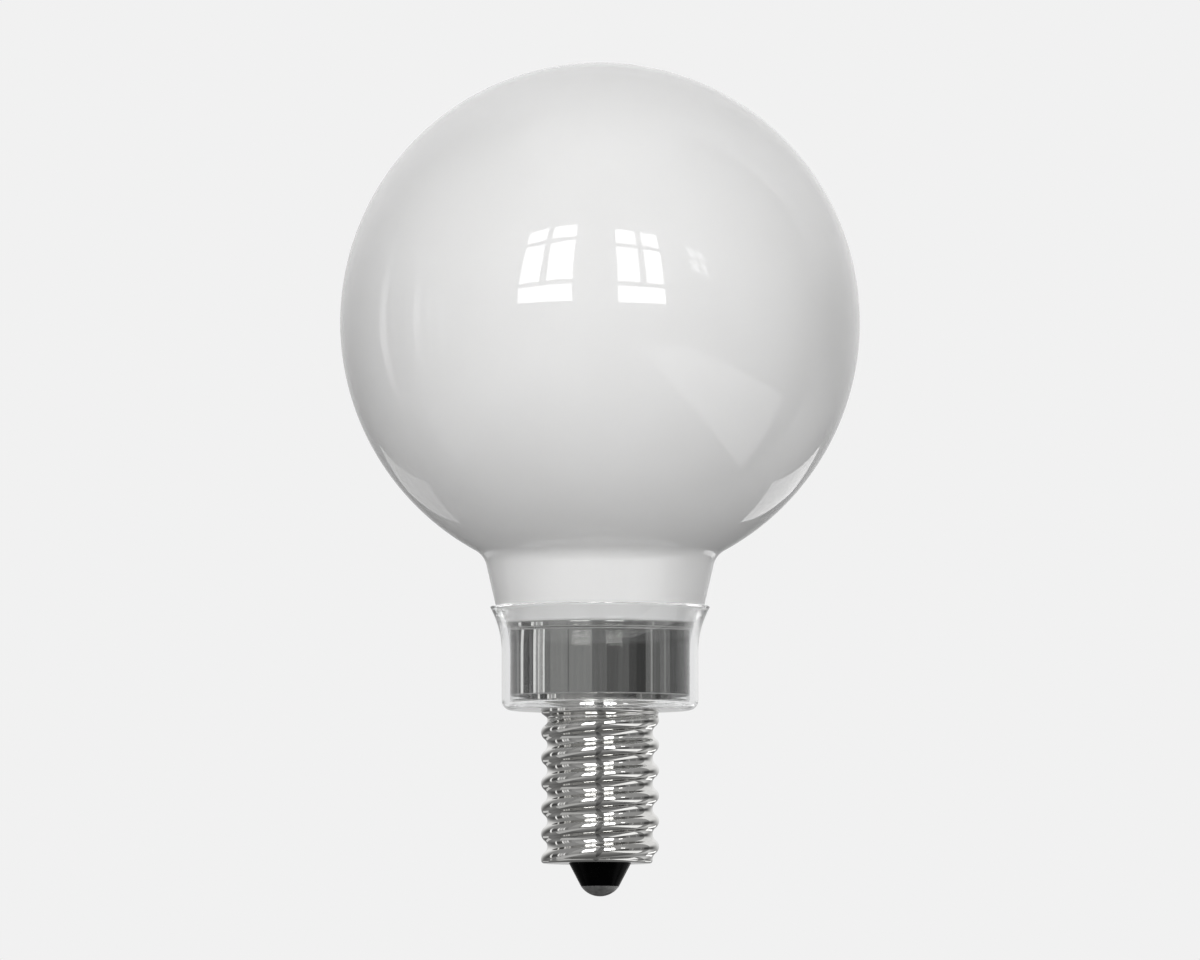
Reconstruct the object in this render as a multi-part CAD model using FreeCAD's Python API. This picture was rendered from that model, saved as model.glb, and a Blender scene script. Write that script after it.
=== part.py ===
"""Globe bulb with a small screw base: opal globe, clear cup collar, polished sleeve, screw shell and contact.

Millimetres. The axis is Z with the globe on top. The origin is on the axis, in the plane of the collar's underside.
"""

import FreeCAD, Part
import math
import os

# Globe and neck
globe_diameter = 52.0
neck_top_diameter = 23.18
neck_length = 5.25
neck_blend_radius = 2.2

# Clear collar
collar_diameter = 19.66
collar_wall = 0.83
collar_floor = 0.8
collar_corner_radius = 1.0
collar_straight_height = 5.8
lip_flare = 1.14
lip_wall = 0.53
lip_height = 10.3
lip_bevel = 0.16

# Polished sleeve inside the collar
sleeve_wall = 0.35
sleeve_height = 7.95
sleeve_bevel = 0.45
sleeve_rim_thickness = 0.4
sleeve_outlet_diameter = 9.0

# Screw shell. The first crest lies at this angle and this far below the collar
thread_crest_diameter = 11.8
thread_root_diameter = 10.53
thread_pitch = 2.54
thread_crest_angle = 180.0
thread_crest_depth = 2.2
thread_sections_per_turn = 8
shell_length = 15.3
shell_land = 0.4
shell_wall = 0.3
shell_flange_diameter = 14.4
shell_edge = 0.3

# Insulator and centre contact
insulator_diameter = 6.2
insulator_drop = 2.3
insulator_shoulder = 1.4
contact_diameter = 3.8
contact_bulge = 1.0
contact_shank_diameter = 1.6
contact_head_diameter = 3.0
contact_head_thickness = 0.4

# Clearances between pieces that seat in each other
neck_clearance = 0.04
sleeve_clearance = 0.04
rim_clearance = 0.12
shell_clearance = 0.06
insulator_clearance = 0.05
contact_clearance = 0.03

# Radii and heights that several pieces share
globe_radius = globe_diameter / 2
collar_radius = collar_diameter / 2
bore_radius = collar_radius - collar_wall
lip_radius = collar_radius + lip_flare
lip_inner_radius = lip_radius - lip_wall
crest_radius = thread_crest_diameter / 2
root_radius = thread_root_diameter / 2
shell_bore_radius = root_radius - shell_wall
insulator_radius = insulator_diameter / 2
contact_radius = contact_diameter / 2
sleeve_base = collar_floor + shell_wall
sleeve_top = sleeve_base + sleeve_height
shell_bottom = -shell_length
shell_floor = shell_bottom + shell_wall
insulator_top = shell_floor + insulator_shoulder
insulator_tip = shell_bottom - insulator_drop
flare_rise = lip_height - collar_straight_height

Vector = FreeCAD.Vector
axis_direction = Vector(0, 0, 1)


def line(start, end):
    """A straight edge of a half section, whose points are (radius, height)."""
    return Part.LineSegment(Vector(start[0], 0, start[1]), Vector(end[0], 0, end[1])).toShape()


def arc(start, middle, end):
    points = [Vector(radius, 0, height) for radius, height in (start, middle, end)]
    return Part.Arc(*points).toShape()


def round_about(centre, radius, from_angle, to_angle):
    """An arc about a centre, with angles in degrees from the outward direction."""
    points = []
    for angle in (from_angle, (from_angle + to_angle) / 2, to_angle):
        turn = math.radians(angle)
        points.append((centre[0] + radius * math.cos(turn), centre[1] + radius * math.sin(turn)))
    return arc(*points)


def end_of(step, vertex):
    """Where a step of an outline starts or ends: a step is a point or an edge drawn from its first vertex."""
    if not isinstance(step, Part.Edge):
        return step
    point = step.valueAt(step.FirstParameter if vertex == "first" else step.LastParameter)
    return point.x, point.z


def turned(*steps):
    """The solid that a closed half section makes about the axis. Lines join its points and its arcs."""
    edges = []
    for step, following in zip(steps, steps[1:] + steps[:1]):
        if isinstance(step, Part.Edge):
            edges.append(step)
        start = end_of(step, "last")
        end = end_of(following, "first")
        if math.dist(start, end) > 1e-7:
            edges.append(line(start, end))
    return Part.Face(Part.Wire(edges)).revolve(Vector(), axis_direction, 360)


def cylinder(radius, bottom, top):
    return Part.makeCylinder(radius, top - bottom, Vector(0, 0, bottom))


def flare_radius(foot_radius, mouth_radius):
    """Radius of the arc that leaves the straight wall upright and reaches the mouth."""
    spread = mouth_radius - foot_radius
    return (flare_rise ** 2 + spread ** 2) / (2 * spread)


def flare_at(foot_radius, mouth_radius, height, offset=0.0):
    """Point of the flare's arc at a height, moved inwards by an offset."""
    radius = flare_radius(foot_radius, mouth_radius)
    rise = height - collar_straight_height
    return foot_radius + radius - math.sqrt((radius + offset) ** 2 - rise ** 2), height


def flare(foot_radius, mouth_radius, bottom, top, offset=0.0):
    heights = (bottom, (bottom + top) / 2, top)
    return arc(*[flare_at(foot_radius, mouth_radius, height, offset) for height in heights])


def glass_globe():
    """Blown globe and tapered neck. The foot follows the collar's flare and stands on the sleeve's rim."""
    seat = flare(bore_radius, lip_inner_radius, sleeve_top, lip_height, neck_clearance)
    neck_foot = end_of(seat, "last")
    neck_top = (neck_top_diameter / 2, lip_height + neck_length)
    centre = neck_top[1] + math.sqrt(globe_radius ** 2 - neck_top[0] ** 2)

    # The blend's centre lies outside the neck's slope and its circle touches the globe from outside
    slope = math.atan2(neck_top[0] - neck_foot[0], neck_length)
    along = Vector(math.sin(slope), 0, math.cos(slope))
    outward = Vector(math.cos(slope), 0, -math.sin(slope))
    middle = Vector(0, 0, centre)
    start = Vector(neck_top[0], 0, neck_top[1]) + outward * neck_blend_radius - middle
    reach = globe_radius + neck_blend_radius
    half = start.dot(along)
    blend = middle + start - along * (half + math.sqrt(half ** 2 - start.dot(start) + reach ** 2))
    on_neck = blend - outward * neck_blend_radius
    on_globe = middle + (blend - middle) * (globe_radius / reach)
    towards = ((on_neck + on_globe) / 2 - blend).normalize()
    deepest = blend + towards * neck_blend_radius
    side = (globe_radius, centre)
    pole = (0, centre + globe_radius)
    return turned(
        (0, sleeve_top),
        seat,
        arc((on_neck.x, on_neck.z), (deepest.x, deepest.z), (on_globe.x, on_globe.z)),
        arc((on_globe.x, on_globe.z), side, pole),
    )


def clear_collar():
    """Moulded cup: floor with a hole for the shell, round corner, straight wall and a flare with a bevelled lip."""
    hole_radius = crest_radius + shell_clearance
    corner = (collar_radius - collar_corner_radius, collar_corner_radius)
    outside = flare(collar_radius, lip_radius, collar_straight_height, lip_height)
    inside = flare(bore_radius, lip_inner_radius, lip_height, collar_straight_height)
    crown_height = lip_height + lip_bevel
    return turned(
        (hole_radius, 0),
        round_about(corner, collar_corner_radius, -90, 0),
        outside,
        (lip_radius - lip_bevel, crown_height),
        (lip_inner_radius + lip_bevel, crown_height),
        inside,
        (bore_radius, collar_floor),
        (hole_radius, collar_floor),
    )


def metal_sleeve():
    """Drawn can with an out-turned rim under the glass and a wire outlet in its floor."""
    radius = bore_radius - sleeve_clearance
    rim_base = sleeve_top - sleeve_rim_thickness
    rim_radius = flare_at(bore_radius, lip_inner_radius, rim_base)[0] - rim_clearance
    outlet_radius = sleeve_outlet_diameter / 2
    inner_radius = radius - sleeve_wall
    return turned(
        (outlet_radius, sleeve_base),
        (radius - sleeve_bevel, sleeve_base),
        (radius, sleeve_base + sleeve_bevel),
        (radius, rim_base),
        (rim_radius, rim_base),
        (rim_radius, sleeve_top),
        (inner_radius, sleeve_top),
        (inner_radius, sleeve_base + sleeve_bevel),
        (inner_radius - sleeve_bevel, sleeve_base + sleeve_wall),
        (outlet_radius, sleeve_base + sleeve_wall),
    )


def knuckle_thread():
    """Right-hand rolled thread: round sections whose centre winds about the axis, so crests and roots are rounded.

    It starts from the plain land at the top and ends in the bevelled edge at the bottom.
    """
    swing = (crest_radius - root_radius) / 2
    mean_radius = (crest_radius + root_radius) / 2

    def section(height, radius, offset):
        turns = (height + thread_crest_depth) / thread_pitch
        angle = math.radians(thread_crest_angle + 360 * turns)
        centre = Vector(offset * math.cos(angle), offset * math.sin(angle), height)
        return Part.Wire([Part.Circle(centre, axis_direction, radius).toShape()])

    top = -shell_land
    bottom = shell_bottom + shell_edge
    steps = math.ceil((top - bottom) / thread_pitch * thread_sections_per_turn)
    sections = [section(collar_floor, crest_radius, 0)]
    sections.append(section(top, crest_radius, 0))
    for step in range(1, steps + 1):
        sections.append(section(top + (bottom - top) * step / steps, mean_radius, swing))
    sections.append(section(shell_bottom, mean_radius - shell_edge, swing))
    return Part.makeLoft(sections, True, True)


def screw_shell():
    """Threaded shell: a flange held on the collar's floor, and a floor with a hole for the insulator."""
    flange = cylinder(shell_flange_diameter / 2, collar_floor, sleeve_base)
    inside = cylinder(shell_bore_radius, shell_floor, sleeve_base)
    hole = cylinder(insulator_radius + insulator_clearance, shell_bottom, shell_floor)
    return knuckle_thread().fuse(flange).cut(inside).cut(hole).removeSplitter()


def base_insulator():
    """Moulded cone with a shoulder that rests on the shell's floor and a bore for the contact's shank."""
    bore = contact_shank_diameter / 2 + contact_clearance
    shoulder_radius = shell_bore_radius - insulator_clearance
    return turned(
        (bore, insulator_tip),
        (contact_radius, insulator_tip),
        (insulator_radius, shell_bottom),
        (insulator_radius, shell_floor),
        (shoulder_radius, shell_floor),
        (shoulder_radius, insulator_top),
        (bore, insulator_top),
    )


def centre_contact():
    """Domed rivet: its shank runs through the insulator and its head holds it from above."""
    shank_radius = contact_shank_diameter / 2
    head_radius = contact_head_diameter / 2
    head_top = insulator_top + contact_head_thickness
    dome_radius = (contact_radius ** 2 + contact_bulge ** 2) / (2 * contact_bulge)
    tip = insulator_tip - contact_bulge
    half_angle = math.asin(contact_radius / dome_radius) / 2
    on_dome = (dome_radius * math.sin(half_angle), tip + dome_radius * (1 - math.cos(half_angle)))
    return turned(
        arc((0, tip), on_dome, (contact_radius, insulator_tip)),
        (shank_radius, insulator_tip),
        (shank_radius, insulator_top),
        (head_radius, insulator_top),
        (head_radius, head_top),
        (0, head_top),
    )


os.makedirs("parts", exist_ok=True)
for piece in (glass_globe, clear_collar, metal_sleeve, screw_shell, base_insulator, centre_contact):
    piece().exportStep("parts/" + piece.__name__ + ".step")
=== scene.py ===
import math

import bmesh
import bpy
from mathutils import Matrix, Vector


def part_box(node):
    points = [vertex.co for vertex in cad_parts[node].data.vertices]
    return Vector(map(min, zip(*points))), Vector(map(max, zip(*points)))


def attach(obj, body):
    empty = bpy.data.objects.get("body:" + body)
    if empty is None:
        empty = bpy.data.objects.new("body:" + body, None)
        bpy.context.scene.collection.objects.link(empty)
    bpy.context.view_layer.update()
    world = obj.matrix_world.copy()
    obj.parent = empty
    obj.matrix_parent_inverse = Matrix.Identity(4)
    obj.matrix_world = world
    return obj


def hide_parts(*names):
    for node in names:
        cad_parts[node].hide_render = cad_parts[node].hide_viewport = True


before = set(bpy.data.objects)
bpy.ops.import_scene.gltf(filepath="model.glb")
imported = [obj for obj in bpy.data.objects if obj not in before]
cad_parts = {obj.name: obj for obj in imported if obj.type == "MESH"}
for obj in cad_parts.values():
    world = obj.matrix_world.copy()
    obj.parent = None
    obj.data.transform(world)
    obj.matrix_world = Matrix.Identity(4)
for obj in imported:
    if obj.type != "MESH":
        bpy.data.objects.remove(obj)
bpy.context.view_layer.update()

# Globe bulb: opal globe, clear cup, polished can, screw shell, insulator and contact.
# Shapes are in millimetres in the frame of the solids, and become metres where a mesh is made.
MM = 0.001
SEGMENTS = 192
TURNS = [2 * math.pi * index / SEGMENTS for index in range(SEGMENTS)]
ARC_STEPS = 8
SHARP_ANGLE = math.radians(32)
NOISE_RANGE = (0.3, 0.7)


def node_box(node):
    """Lowest and highest corner of a solid, in millimetres."""
    low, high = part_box(node)
    return low / MM, high / MM


globe_low, globe_high = node_box("glass_globe")
cup_low, cup_high = node_box("clear_collar")
can_low, can_high = node_box("metal_sleeve")
shell_low, shell_high = node_box("screw_shell")
insulator_low, insulator_high = node_box("base_insulator")
contact_low, contact_high = node_box("centre_contact")

# Globe and neck
globe_radius = globe_high.x
globe_centre = globe_high.z - globe_radius
neck_top_radius = 11.59
neck_top_height = 15.55
neck_blend = 2.2
neck_clearance = 0.04
foot_rounding = 0.35
seat_steps = 10
neck_steps = 8
ball_steps = 96

# Clear cup
cup_radius = 9.83
cup_bore = 9.0
cup_floor = 0.8
cup_corner = 1.0
cup_inner_corner = 0.15
cup_hole = 5.96
cup_hole_edge = 0.08
flare_foot = 5.8
flare_steps = 20
lip_height = 10.3
lip_radius = cup_high.x
lip_inner_radius = 10.44
lip_crown = cup_high.z - lip_height
crown_steps = 12

# Polished can. The photograph shows it a little shorter than its solid, so its base and the shell's flange
# are lifted, and its rim and the foot of the glass are dropped
can_lift = 0.3
foot_drop = 0.3
can_radius = 8.96
can_wall = 0.35
can_corner = 0.15
can_edge = 0.05
can_outlet = 4.5
can_rim = 0.6
can_rim_gap = 0.04
can_rim_rounding = 0.1
can_fillet = 0.24

# Screw shell
crest_radius = 5.9
root_radius = 5.265
pitch = 2.54
crest_depth = 2.2
crest_angle = math.pi
land = 0.12
run_in = 0.7
shell_wall = 0.3
shell_edge = 0.3
shell_hole = 3.15
row_height = 0.06

# Insulator and contact
insulator_radius = 3.1
insulator_mouth = shell_low.z + shell_wall
cone_edge = 0.1
cone_tip_edge = 0.06
shoulder_edge = 0.05
shank_radius = 0.8
shank_clearance = 0.03
contact_radius = contact_high.x
contact_bulge = 1.0
dome_margin = 0.1
dome_steps = 24
head_radius = 1.5


def rounded(corners):
    """Closed outline through corners (radius, height, rounding), each rounded with an arc."""
    outline = []
    count = len(corners)
    for index, (x, z, rounding) in enumerate(corners):
        if not rounding:
            outline.append((x, z))
            continue
        before = corners[index - 1]
        after = corners[(index + 1) % count]
        to_before = math.atan2(before[1] - z, before[0] - x)
        to_after = math.atan2(after[1] - z, after[0] - x)
        turn = (to_after - to_before + math.pi) % (2 * math.pi) - math.pi
        half = abs(turn) / 2
        middle = to_before + turn / 2
        reach = rounding / math.sin(half)
        centre_x = x + reach * math.cos(middle)
        centre_z = z + reach * math.sin(middle)
        sweep = math.copysign(math.pi - 2 * half, turn)
        for step in range(ARC_STEPS + 1):
            angle = middle + math.pi + sweep * (0.5 - step / ARC_STEPS)
            outline.append((centre_x + rounding * math.cos(angle), centre_z + rounding * math.sin(angle)))
    return outline


def arc_about(centre, radius, start, end, steps):
    angles = [start + (end - start) * step / steps for step in range(steps + 1)]
    return [(centre[0] + radius * math.cos(a), centre[1] + radius * math.sin(a)) for a in angles]


def flare_at(foot_radius, mouth_radius, height, offset=0.0):
    """Radius of the cup's flare at a height: an arc that leaves the straight wall upright."""
    spread = mouth_radius - foot_radius
    rise = lip_height - flare_foot
    radius = (rise ** 2 + spread ** 2) / (2 * spread)
    return foot_radius + radius - math.sqrt((radius + offset) ** 2 - (height - flare_foot) ** 2)


def flare(foot_radius, mouth_radius, bottom, top, steps, offset=0.0):
    heights = [bottom + (top - bottom) * step / steps for step in range(steps + 1)]
    return [(flare_at(foot_radius, mouth_radius, height, offset), height) for height in heights]


def skin(name, rings, closed):
    """Mesh object over rings of points in millimetres. A ring of one point is a pole on the axis."""
    bm = bmesh.new()
    made = [[bm.verts.new([value * MM for value in point]) for point in ring] for ring in rings]
    pairs = list(zip(made, made[1:]))
    if closed:
        pairs.append((made[-1], made[0]))
    for lower, upper in pairs:
        for index in range(SEGMENTS):
            following = (index + 1) % SEGMENTS
            corners = [lower[index % len(lower)], lower[following % len(lower)]]
            corners += [upper[following % len(upper)], upper[index % len(upper)]]
            bm.faces.new(list(dict.fromkeys(corners)))
    bmesh.ops.recalc_face_normals(bm, faces=bm.faces)
    mesh = bpy.data.meshes.new(name)
    bm.to_mesh(mesh)
    bm.free()
    mesh.shade_smooth()
    mesh.set_sharp_from_angle(angle=SHARP_ANGLE)
    piece = bpy.data.objects.new(name, mesh)
    bpy.context.scene.collection.objects.link(piece)
    weighted = piece.modifiers.new("even_shading", "WEIGHTED_NORMAL")
    weighted.keep_sharp = True
    return piece


def ring(radius, height):
    if not radius:
        return [(0.0, 0.0, height)]
    return [(radius * math.cos(turn), radius * math.sin(turn), height) for turn in TURNS]


def lathe(name, outline, closed):
    return skin(name, [ring(radius, height) for radius, height in outline], closed)


def opal_globe():
    """Blown globe: foot inside the flare, sloping neck, a hollow blend and the ball."""
    foot = globe_low.z - foot_drop
    seat = flare(cup_bore, lip_inner_radius, foot + foot_rounding, lip_height, seat_steps, neck_clearance)
    edge = (seat[0][0] - foot_rounding, foot + foot_rounding)
    heel = arc_about(edge, foot_rounding, -math.pi / 2, 0, ARC_STEPS)

    # The blend's centre lies outside the neck's slope and its circle touches the ball from outside
    slope = math.atan2(neck_top_radius - seat[-1][0], neck_top_height - lip_height)
    along = (math.sin(slope), math.cos(slope))
    outward = (math.cos(slope), -math.sin(slope))
    start = (
        neck_top_radius + outward[0] * neck_blend,
        neck_top_height + outward[1] * neck_blend - globe_centre,
    )
    reach = globe_radius + neck_blend
    half = start[0] * along[0] + start[1] * along[1]
    back = half + math.sqrt(half ** 2 - start[0] ** 2 - start[1] ** 2 + reach ** 2)
    blend = (start[0] - along[0] * back, start[1] - along[1] * back + globe_centre)
    neck_side = math.pi - slope
    ball_side = math.atan2(globe_centre - blend[1], -blend[0])
    hollow = arc_about(blend, neck_blend, neck_side, ball_side, ARC_STEPS * 2)
    ball_start = math.atan2(blend[1] - globe_centre, blend[0])
    ball = arc_about((0, globe_centre), globe_radius, ball_start, math.pi / 2, ball_steps)
    neck = []
    for step in range(1, neck_steps):
        share = step / neck_steps
        neck.append(tuple(a + (b - a) * share for a, b in zip(seat[-1], hollow[0])))
    outline = [(0.0, foot)] + heel[:-1] + seat + neck + hollow + ball[1:-1] + [(0.0, globe_high.z)]
    return lathe("opal_globe", outline, False)


def clear_cup():
    """Moulded cup with a round lip, round corners and a floor pierced for the shell."""
    outside = flare(cup_radius, lip_radius, flare_foot, lip_height, flare_steps)
    inside = flare(cup_bore, lip_inner_radius, lip_height, flare_foot, flare_steps)
    crown_middle = (lip_radius + lip_inner_radius) / 2
    crown_half = (lip_radius - lip_inner_radius) / 2
    crown = []
    for step in range(1, crown_steps):
        angle = math.pi * step / crown_steps
        crown.append((crown_middle + crown_half * math.cos(angle), lip_height + lip_crown * math.sin(angle)))
    corners = [(cup_hole, cup_low.z, cup_hole_edge), (cup_radius, cup_low.z, cup_corner)]
    corners += [(x, z, 0) for x, z in outside + crown + inside]
    corners += [(cup_bore, cup_floor, cup_inner_corner), (cup_hole, cup_floor, cup_hole_edge)]
    return lathe("clear_cup", rounded(corners), True)


def polished_can():
    """Drawn can: close bottom corner, upright wall and an out-turned rim under the glass."""
    base = can_low.z + can_lift
    top = can_high.z - foot_drop
    inner = can_radius - can_wall
    rim = flare_at(cup_bore, lip_inner_radius, top - can_rim) - can_rim_gap
    corners = [
        (can_outlet, base, can_edge),
        (can_radius, base, can_corner),
        (can_radius, top - can_rim, can_fillet),
        (rim, top - can_rim, can_rim_rounding),
        (rim, top, can_rim_rounding),
        (inner, top, can_edge),
        (inner, base + can_wall, can_edge),
        (can_outlet, base + can_wall, can_edge),
    ]
    return lathe("polished_can", rounded(corners), True)


def thread_radius(turn, height):
    """Knuckle thread of two equal arcs, right-hand, that runs out of the plain land at its top."""
    depth = crest_radius - root_radius
    bend = (pitch ** 2 / 4 + depth ** 2) / (4 * depth)
    turns = (turn - crest_angle) / (2 * math.pi) - (height + crest_depth) / pitch
    away = abs(turns - round(turns)) * pitch
    if away <= pitch / 4:
        radius = crest_radius - bend + math.sqrt(bend ** 2 - away ** 2)
    else:
        radius = root_radius + bend - math.sqrt(bend ** 2 - (pitch / 2 - away) ** 2)
    share = min(max((-height - land) / run_in, 0.0), 1.0)
    share = share * share * (3 - 2 * share)
    return crest_radius + (radius - crest_radius) * share


def thread_ring(height, inset=0.0, drop=0.0):
    made = []
    for turn in TURNS:
        radius = thread_radius(turn, height) - inset
        made.append((radius * math.cos(turn), radius * math.sin(turn), height - drop))
    return made


def threaded_shell():
    """Rolled shell: flange under the can, land, thread, turned-in edge and a floor round the insulator."""
    bore = root_radius - shell_wall
    bottom = shell_low.z
    last = bottom + shell_edge
    top = shell_high.z + can_lift
    seat = top - shell_wall
    rings = [ring(bore, top), ring(shell_high.x, top), ring(shell_high.x, seat)]
    rings += [ring(crest_radius, seat), ring(crest_radius, cup_floor / 2), ring(crest_radius, 0.0)]
    rows = math.ceil(-last / row_height)
    rings += [thread_ring(last * row / rows) for row in range(1, rows + 1)]
    for step in range(1, ARC_STEPS + 1):
        angle = math.pi / 2 * step / ARC_STEPS
        rings.append(thread_ring(last, shell_edge * (1 - math.cos(angle)), shell_edge * math.sin(angle)))
    rings += [ring(root_radius - 2 * shell_edge, bottom), ring(shell_hole, bottom)]
    rings += [ring(shell_hole, bottom + shell_wall), ring(bore, bottom + shell_wall)]
    return skin("threaded_shell", rings, True)


def black_cone():
    """Moulded insulator: shoulder inside the shell and the cone below it."""
    tip = insulator_low.z
    bore = shank_radius + shank_clearance
    corners = [
        (bore, tip, 0),
        (contact_radius, tip, cone_tip_edge),
        (insulator_radius, shell_low.z, cone_edge),
        (insulator_radius, insulator_mouth, 0),
        (insulator_high.x, insulator_mouth, shoulder_edge),
        (insulator_high.x, insulator_high.z, cone_edge),
        (bore, insulator_high.z, 0),
    ]
    return lathe("black_cone", rounded(corners), True)


def solder_dome():
    """Domed contact: a low cap of solder on the rivet's shank, with the head above the insulator."""
    tip = contact_low.z
    dome = (contact_radius ** 2 + contact_bulge ** 2) / (2 * contact_bulge)
    half = math.asin(contact_radius / dome)
    cap = arc_about((0, tip + dome), dome, -math.pi / 2, -math.pi / 2 + half, dome_steps)
    outline = [(0.0, tip)] + cap[1:]
    outline += [(contact_radius - dome_margin, insulator_low.z), (shank_radius, insulator_low.z)]
    outline += [(shank_radius, insulator_high.z), (head_radius, insulator_high.z)]
    outline += [(head_radius, contact_high.z), (0.0, contact_high.z)]
    return lathe("solder_dome", outline, False)


def grey(level):
    return (level, level, level, 1)


def feed(tree, socket, value):
    """Give a node's input a number or the output of another node."""
    if isinstance(value, (int, float)):
        socket.default_value = value
    else:
        tree.links.new(value, socket)


def reckon(tree, operation, *values):
    """Result of a sum with one to three values, each a number or the output of another node."""
    node = tree.nodes.new("ShaderNodeMath")
    node.operation = operation
    for socket, value in zip(node.inputs, values):
        feed(tree, socket, value)
    return node.outputs[0]


def between(tree, value, start, end, low=0.0, high=1.0):
    """Smooth step of a value, from low at its start to high at its end."""
    node = tree.nodes.new("ShaderNodeMapRange")
    node.interpolation_type = "SMOOTHSTEP"
    names = ("Value", "From Min", "From Max", "To Min", "To Max")
    for name, given in zip(names, (value, start, end, low, high)):
        feed(tree, node.inputs[name], given)
    return node.outputs["Result"]


def glow(tree, level, colour=None):
    node = tree.nodes.new("ShaderNodeEmission")
    feed(tree, node.inputs["Strength"], level)
    if colour is not None:
        feed(tree, node.inputs["Color"], colour)
    return node.outputs[0]


def see_through(tree):
    return tree.nodes.new("ShaderNodeBsdfTransparent").outputs[0]


def mix(tree, share, first, second):
    node = tree.nodes.new("ShaderNodeMixShader")
    for socket, value in zip(node.inputs, (share, first, second)):
        feed(tree, socket, value)
    return node.outputs[0]


class Nodes:
    """A material's node tree with short ways to add what the finishes share. Patterns are in millimetres."""

    def __init__(self, name, values):
        self.material = bpy.data.materials.new(name)
        self.material.use_nodes = True
        self.tree = self.material.node_tree
        self.shader = self.tree.nodes["Principled BSDF"]
        self.place = self.tree.nodes.new("ShaderNodeTexCoord").outputs["Object"]
        for socket, value in values.items():
            self.shader.inputs[socket].default_value = value

    def noise(self, scale, detail=2.0, stretch=(1, 1, 1)):
        mapping = self.tree.nodes.new("ShaderNodeMapping")
        mapping.inputs["Scale"].default_value = [value / MM for value in stretch]
        feed(self.tree, mapping.inputs["Vector"], self.place)
        texture = self.tree.nodes.new("ShaderNodeTexNoise")
        texture.inputs["Scale"].default_value = scale
        texture.inputs["Detail"].default_value = detail
        feed(self.tree, texture.inputs["Vector"], mapping.outputs["Vector"])
        return texture.outputs["Fac"]

    def vary(self, socket, pattern, low, high):
        """Let a pattern move one of the shader's values or colours from low to high."""
        ramp = self.tree.nodes.new("ShaderNodeValToRGB")
        for stop, position, value in zip(ramp.color_ramp.elements, NOISE_RANGE, (low, high)):
            stop.position = position
            stop.color = (*value, 1) if isinstance(value, tuple) else grey(value)
        feed(self.tree, ramp.inputs["Fac"], pattern)
        feed(self.tree, self.shader.inputs[socket], ramp.outputs["Color"])

    def bump(self, pattern, depth, strength):
        bump = self.tree.nodes.new("ShaderNodeBump")
        bump.inputs["Strength"].default_value = strength
        bump.inputs["Distance"].default_value = depth * MM
        feed(self.tree, bump.inputs["Height"], pattern)
        feed(self.tree, self.shader.inputs["Normal"], bump.outputs["Normal"])


def opal_finish():
    """Milky glass under a clear polished skin, with faint clouding from the blowing."""
    nodes = Nodes("opal_glass", {
        "IOR": 1.5,
        "Subsurface Weight": 0.8,
        "Subsurface Radius": (1, 1, 1),
        "Subsurface Scale": 1 * MM,
    })
    clouds = nodes.noise(scale=0.06, detail=3.0)
    nodes.vary("Base Color", clouds, (0.868, 0.866, 0.862), (0.89, 0.889, 0.886))
    nodes.vary("Roughness", nodes.noise(scale=0.2), 0.0, 0.006)
    return nodes.material


def clear_finish():
    """Clear moulded plastic with a trace of haze. Shadows and soft light pass it unbent."""
    nodes = Nodes("clear_plastic", {"IOR": 1.49, "Transmission Weight": 1.0})
    haze = nodes.noise(scale=0.5, stretch=(1, 1, 0.3))
    nodes.vary("Base Color", haze, (0.92, 0.925, 0.925), (0.955, 0.96, 0.96))
    nodes.vary("Roughness", haze, 0.0, 0.015)
    tree = nodes.tree
    rays = tree.nodes.new("ShaderNodeLightPath").outputs
    straight = reckon(tree, "MAXIMUM", rays["Is Shadow Ray"], rays["Is Diffuse Ray"])
    surface = mix(tree, straight, nodes.shader.outputs["BSDF"], see_through(tree))
    feed(tree, tree.nodes["Material Output"].inputs["Surface"], surface)
    return nodes.material


def can_finish():
    """Polished drawn metal with faint upright draw lines."""
    nodes = Nodes("polished_metal", {"Metallic": 1.0})
    lines = nodes.noise(scale=3.0, stretch=(1, 1, 0.02))
    nodes.vary("Base Color", lines, (0.62, 0.62, 0.605), (0.66, 0.66, 0.645))
    nodes.vary("Roughness", lines, 0.01, 0.04)
    return nodes.material


def shell_finish():
    """Bright plated sheet with fine rolling marks that run round the shell."""
    nodes = Nodes("plated_sheet", {"Metallic": 1.0})
    marks = nodes.noise(scale=0.8, detail=3.0, stretch=(0.3, 0.3, 6))
    stains = nodes.noise(scale=0.5, detail=3.0)
    nodes.vary("Base Color", stains, (0.66, 0.655, 0.635), (0.76, 0.755, 0.74))
    nodes.vary("Roughness", marks, 0.03, 0.09)
    nodes.bump(marks, depth=0.004, strength=0.15)
    return nodes.material


def insulator_finish():
    """Black glassy moulding with a slightly uneven polish."""
    nodes = Nodes("black_glass", {"Specular IOR Level": 0.03})
    mottle = nodes.noise(scale=1.2, detail=3.0)
    nodes.vary("Base Color", mottle, 0.0004, 0.0012)
    nodes.vary("Roughness", mottle, 0.15, 0.28)
    nodes.bump(mottle, depth=0.02, strength=0.3)
    return nodes.material


def contact_finish():
    """Dull grey solder with a grainy, slightly pitted skin."""
    nodes = Nodes("dull_solder", {"Metallic": 0.85})
    grain = nodes.noise(scale=2.2, detail=4.0)
    nodes.vary("Base Color", grain, (0.24, 0.24, 0.235), (0.4, 0.4, 0.39))
    nodes.vary("Roughness", grain, 0.35, 0.55)
    nodes.bump(grain, depth=0.03, strength=0.5)
    return nodes.material


def dress(piece, finish, node):
    piece.data.materials.append(finish)
    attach(piece, "root")
    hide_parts(node)


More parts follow.
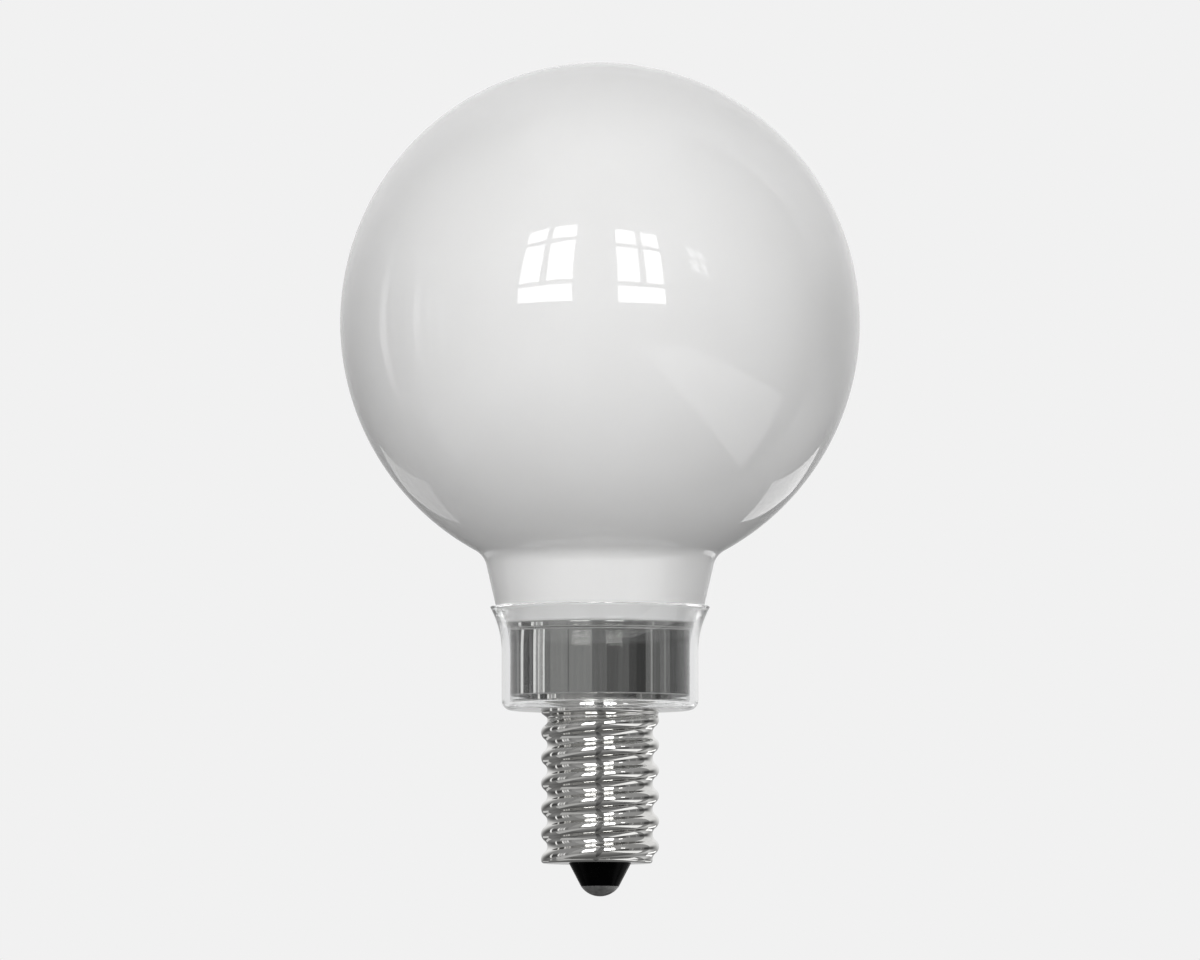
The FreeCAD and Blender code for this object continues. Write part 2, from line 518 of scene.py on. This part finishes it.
dress(opal_globe(), opal_finish(), "glass_globe")
dress(clear_cup(), clear_finish(), "clear_collar")
dress(polished_can(), can_finish(), "metal_sleeve")
dress(threaded_shell(), shell_finish(), "screw_shell")
dress(black_cone(), insulator_finish(), "base_insulator")
dress(solder_dome(), contact_finish(), "centre_contact")

# Studio, in metres: a pale floor and surround, soft windows on the camera's side, patches of light below the
# bulb and grey cards round about
view_height = 23.05 * MM
view_rise = math.radians(2.4)
view_distance = 3.0
lens_per_metre = 300.0

# Surround: what the camera sees, and its light from below, level, above and behind
pale = 0.88
light_below = 0.26
light_level = 0.45
light_above = 0.18
light_behind = 1.3
light_lean = 0.35
behind_start = -0.2
behind_end = 0.7

# Floor, and how far the patches of light lie below the globe's middle
floor_gap = 0.045
floor_height = contact_low.z * MM - floor_gap
floor_bounce = 0.66
floor_radius = 0.78
floor_fade_start = 0.2
light_drop = 0.5

# Windows
window_wall = 1.5
window_light = 6.65
small_window_light = 3.4

# Cards, and the backdrop behind the bulb. Openings are in degrees from the camera's side. Levels and the
# backdrop's low and high are shares of the cards' distance
card_distance = 2.7
card_rows = 64
card_bottom = math.radians(-89.9)
card_top = math.radians(66)
camera_side = 0.5
card_opening = 120
wall_opening = 80
eye_level = 0.04
far_level = 0.4
lowest_level = -1.0
ground_level = -0.15
ground_shade = 0.35
can_ground_shade = 2.4
backdrop_opening = 165
backdrop_lean = 0.15
backdrop_low = -0.3
backdrop_high = 0.25
backdrop_dark = 0.14
backdrop_pale = 0.95

# A ray's counts are whole numbers, so a limit lies halfway between two of them. A ray that comes back from
# the can has gone through four faces of the cup, two on its way in and two on its way out
at_least_one = 0.5
at_least_four = 3.5


def plain_material(name):
    made = bpy.data.materials.new(name)
    made.use_nodes = True
    made.node_tree.nodes.clear()
    return made.node_tree, made


def studio_object(name, corners, faces, material):
    mesh = bpy.data.meshes.new(name)
    mesh.from_pydata(corners, [], faces)
    mesh.materials.append(material)
    made = bpy.data.objects.new(name, mesh)
    bpy.context.scene.collection.objects.link(made)
    return made


def finish_material(tree, surface, kind="ShaderNodeOutputMaterial"):
    feed(tree, tree.nodes.new(kind).inputs["Surface"], surface)


def axes_of(tree, kind):
    """X, Y and Z of a place on an object, or of a direction in the world."""
    node = tree.nodes.new("ShaderNodeSeparateXYZ")
    feed(tree, node.inputs[0], tree.nodes.new("ShaderNodeTexCoord").outputs[kind])
    return node.outputs


def faces_passed(tree, rays):
    """How many faces of the clear cup a ray has gone through."""
    return reckon(tree, "ADD", rays["Transmission Depth"], rays["Transparent Depth"])


def surround():
    """The world is pale to the camera, to metal and to glass, and softer as a light."""
    world = bpy.data.worlds.new("surround")
    bpy.context.scene.world = world
    world.use_nodes = True
    tree = world.node_tree
    tree.nodes.clear()
    axes = axes_of(tree, "Generated")

    # The ramp runs from straight down, where Z is -1, to straight up, where it is 1
    ramp = tree.nodes.new("ShaderNodeValToRGB")
    stops = ramp.color_ramp.elements
    stops.new(0.5)
    for stop, level in zip(stops, (light_below, light_level, light_above)):
        stop.color = grey(level)
    feed(tree, ramp.inputs["Fac"], reckon(tree, "MULTIPLY_ADD", axes["Z"], 0.5, 0.5))
    light = tree.nodes.new("ShaderNodeBackground")
    feed(tree, light.inputs["Color"], ramp.outputs["Color"])
    towards = reckon(tree, "MULTIPLY_ADD", axes["X"], light_lean, axes["Y"])
    feed(tree, light.inputs["Strength"], between(tree, towards, behind_start, behind_end, 1.0, light_behind))
    shown = tree.nodes.new("ShaderNodeBackground")
    shown.inputs["Color"].default_value = grey(pale)
    rays = tree.nodes.new("ShaderNodeLightPath").outputs
    seen = reckon(tree, "MAXIMUM", rays["Is Camera Ray"], rays["Is Glossy Ray"])
    seen = reckon(tree, "MAXIMUM", seen, rays["Is Transmission Ray"])
    finish_material(tree, mix(tree, seen, light.outputs[0], shown.outputs[0]), "ShaderNodeOutputWorld")


def floor():
    """Pale disc under the bulb that fades out towards its edge and can't be seen from below.

    Gloss and metal mirror the cards instead of it. The cup's own walls see it as pale as the surround.
    """
    tree, material = plain_material("pale_floor")
    reach = tree.nodes.new("ShaderNodeVectorMath")
    reach.operation = "LENGTH"
    feed(tree, reach.inputs[0], tree.nodes.new("ShaderNodeTexCoord").outputs["Object"])
    fade = between(tree, reach.outputs["Value"], floor_fade_start, floor_radius)
    rays = tree.nodes.new("ShaderNodeLightPath").outputs
    diffuse = tree.nodes.new("ShaderNodeBsdfDiffuse")
    bounce = between(tree, rays["Is Camera Ray"], 0.0, 1.0, floor_bounce, pale)
    feed(tree, diffuse.inputs["Color"], bounce)
    in_walls = reckon(tree, "LESS_THAN", faces_passed(tree, rays), at_least_four)
    in_walls = reckon(tree, "MULTIPLY", in_walls, rays["Is Transmission Ray"])
    seen = mix(tree, in_walls, diffuse.outputs[0], glow(tree, pale))
    below = tree.nodes.new("ShaderNodeNewGeometry").outputs["Backfacing"]
    finish_material(tree, mix(tree, reckon(tree, "MAXIMUM", fade, below), seen, see_through(tree)))
    corners = [(floor_radius * math.cos(turn), floor_radius * math.sin(turn), 0.0) for turn in TURNS]
    made = studio_object("floor", corners, [range(SEGMENTS)], material)
    made.location.z = floor_height
    made.visible_glossy = False


def floor_light():
    """Flat patches of light below the bulb, beside it and behind it, for the globe and the shell to mirror.

    Their corners are in multiples of the drop.
    """
    beside = ((1.26, -3.87), (3.05, -4.14), (2.56, 0.4), (0.97, 0.28))
    behind = ((0.75, 1.5), (1.15, 1.25), (2.2, 4.6), (1.4, 4.9))
    for name, side, patch, level in (
        ("right_floor_light", 1, beside, 1.2),
        ("left_floor_light", -1, beside, 0.55),
        ("right_back_light", 1, behind, 1.5),
        ("left_back_light", -1, behind, 0.7),
    ):
        tree, material = plain_material(name)
        finish_material(tree, glow(tree, level))
        corners = [(side * x * light_drop, y * light_drop, 0.0) for x, y in patch]
        made = studio_object(name, corners, [range(4)], material)
        made.location.z = globe_centre * MM - light_drop
        made.visible_camera = False
        made.visible_diffuse = False
        made.visible_transmission = False
        made.visible_shadow = False


def window(name, panes, level):
    """Panes of soft light on the camera's side, square to the view. The camera itself sees through them."""
    tree, material = plain_material(name)
    finish_material(tree, glow(tree, level))
    corners = []
    faces = []
    for left, right, bottom, top in panes:
        faces.append(range(len(corners), len(corners) + 4))
        outline = ((left, bottom), (right, bottom), (right, top), (left, top))
        corners += [(x, -window_wall, z) for x, z in outline]
    made = studio_object(name, corners, faces, material)
    made.location.z = globe_centre * MM
    made.rotation_euler.x = view_rise
    made.visible_camera = False


def tall_window(name, columns, rows):
    """A wide pane at the bottom and two rows of two panes above it."""
    left, bar_left, bar_right, right = columns
    panes = [(left, right, rows[0], rows[1])]
    for start, end in ((left, bar_left), (bar_right, right)):
        panes += [(start, end, rows[2], rows[3]), (start, end, rows[4], rows[5])]
    window(name, panes, window_light)


def windows():
    """Two tall windows and a small one far to the right, placed from the globe's middle."""
    tall_window("left_window", (-1.13, -0.785, -0.69, -0.33), (0.245, 0.46, 0.525, 1.12, 1.2, 1.46))
    tall_window("right_window", (0.21, 0.5, 0.585, 0.845), (0.225, 0.425, 0.485, 0.985, 1.055, 1.32))
    columns = ((1.42, 1.62), (1.67, 1.87))
    rows = ((0.8, 1.0), (1.05, 1.25))
    window("small_window", [column + row for column in columns for row in rows], small_window_light)


def sides(tree):
    """Direction round the axis, from 0 to 1: it is camera_side in front and grows to the right."""
    turn = tree.nodes.new("ShaderNodeMapping")
    turn.inputs["Rotation"].default_value[2] = math.pi / 2
    feed(tree, turn.inputs["Vector"], tree.nodes.new("ShaderNodeTexCoord").outputs["Object"])
    gradient = tree.nodes.new("ShaderNodeTexGradient")
    gradient.gradient_type = "RADIAL"
    feed(tree, gradient.inputs["Vector"], turn.outputs["Vector"])
    return gradient.outputs["Fac"]


def stripes(tree, around, shades):
    """Upright stripes: each starts at a side, in degrees from the camera to the right, and has a shade."""
    ramp = tree.nodes.new("ShaderNodeValToRGB")
    ramp.color_ramp.interpolation = "CONSTANT"
    stops = ramp.color_ramp.elements
    stops.remove(stops[1])
    for side, shade in shades:
        place = camera_side + side / 360
        stop = stops.new(place) if place else stops[0]
        stop.color = grey(shade)
    feed(tree, ramp.inputs["Fac"], around)
    return ramp.outputs["Color"]


def card_finish():
    """Grey stripes that only gloss and metal mirror, with a backdrop behind the bulb that pales upwards.

    Through the clear cup, its walls mirror only the cards in front, and the can those all round.
    """
    tree, material = plain_material("grey_cards")
    rays = tree.nodes.new("ShaderNodeLightPath").outputs
    passed = faces_passed(tree, rays)
    through_cup = reckon(tree, "GREATER_THAN", passed, at_least_one)
    through_to_can = reckon(tree, "GREATER_THAN", passed, at_least_four)
    around = sides(tree)
    axes = axes_of(tree, "Object")
    height = reckon(tree, "DIVIDE", axes["Z"], card_distance)

    # Stripes at eye level, and wider ones above and below them
    ground = between(tree, through_to_can, 0.0, 1.0, ground_shade, can_ground_shade)
    brightness = between(tree, height, lowest_level, ground_level, ground, 1.0)
    level = glow(tree, brightness, stripes(tree, around, (
        (-180, 0.1), (-116, 1.2), (-110.5, 0.07), (-91.5, 1.2), (-88, 0.42), (-84, 1.1), (-82, 0.5),
        (-76, 1.1), (-74.5, 0.24), (-66, 0.33), (-41.5, 0.17), (-40, 0.32), (-10, 0.2), (8, 0.14), (22, 0.17),
        (36, 0.1), (46, 0.07), (58, 0.21), (66, 0.45), (68, 0.18), (87, 0.32), (89.5, 0.17), (97, 0.06),
        (110, 0.1), (130, 0.16),
    )))
    beyond = glow(tree, brightness, stripes(tree, around, (
        (-180, 0.45), (-140, 0.3), (-60, 0.42), (-6.5, 0.18), (4.5, 0.42), (60, 0.35), (115, 0.9),
        (150, 0.45),
    )))
    rise = between(tree, reckon(tree, "ABSOLUTE", height), eye_level, far_level)
    striped = mix(tree, rise, level, beyond)

    side = reckon(tree, "ABSOLUTE", reckon(tree, "SUBTRACT", around, camera_side))
    lean = reckon(tree, "MULTIPLY_ADD", axes["X"], backdrop_lean / card_distance, height)
    backdrop = glow(tree, between(tree, lean, backdrop_low, backdrop_high, backdrop_dark, backdrop_pale))
    behind = between(tree, side, card_opening / 360, backdrop_opening / 360)
    direct = mix(tree, behind, striped, backdrop)
    clear = see_through(tree)
    in_front = reckon(tree, "LESS_THAN", side, wall_opening / 360)
    through = mix(tree, reckon(tree, "MAXIMUM", in_front, through_to_can), clear, striped)
    mirrored = reckon(tree, "GREATER_THAN", rays["Glossy Depth"], at_least_one)
    unscattered = reckon(tree, "LESS_THAN", rays["Diffuse Depth"], at_least_one)
    mirrored = reckon(tree, "MULTIPLY", mirrored, unscattered)
    finish_material(tree, mix(tree, mirrored, clear, mix(tree, through_cup, direct, through)))
    return material


def cards():
    """Sphere of cards round the bulb, open at its top."""
    corners = []
    faces = []
    for row in range(card_rows + 1):
        tilt = card_bottom + (card_top - card_bottom) * row / card_rows
        reach = card_distance * math.cos(tilt)
        rise = card_distance * math.sin(tilt)
        corners += [(reach * math.cos(turn), reach * math.sin(turn), rise) for turn in TURNS]
    for row in range(card_rows):
        low = row * SEGMENTS
        high = low + SEGMENTS
        for index in range(SEGMENTS):
            following = (index + 1) % SEGMENTS
            faces.append((low + index, low + following, high + following, high + index))
    made = studio_object("cards", corners, faces, card_finish())
    made.visible_camera = False
    made.visible_diffuse = False
    made.visible_shadow = False


def camera():
    """Long lens that looks up at the bulb by a little, framed as the photograph is."""
    lens = bpy.data.cameras.new("camera")
    lens.sensor_width = 36.0
    lens.lens = lens_per_metre * view_distance
    made = bpy.data.objects.new("camera", lens)
    made.location.y = -view_distance * math.cos(view_rise)
    made.location.z = view_height - view_distance * math.sin(view_rise)
    made.rotation_euler.x = math.pi / 2 + view_rise
    bpy.context.scene.collection.objects.link(made)
    bpy.context.scene.camera = made


surround()
floor()
floor_light()
windows()
cards()
camera()
bpy.context.scene.view_settings.view_transform = "Standard"

# Light is reflected many times inside the clear cup's walls before it comes out again
bpy.context.scene.cycles.max_bounces = 72
bpy.context.scene.cycles.glossy_bounces = 64
bpy.context.scene.cycles.transmission_bounces = 16
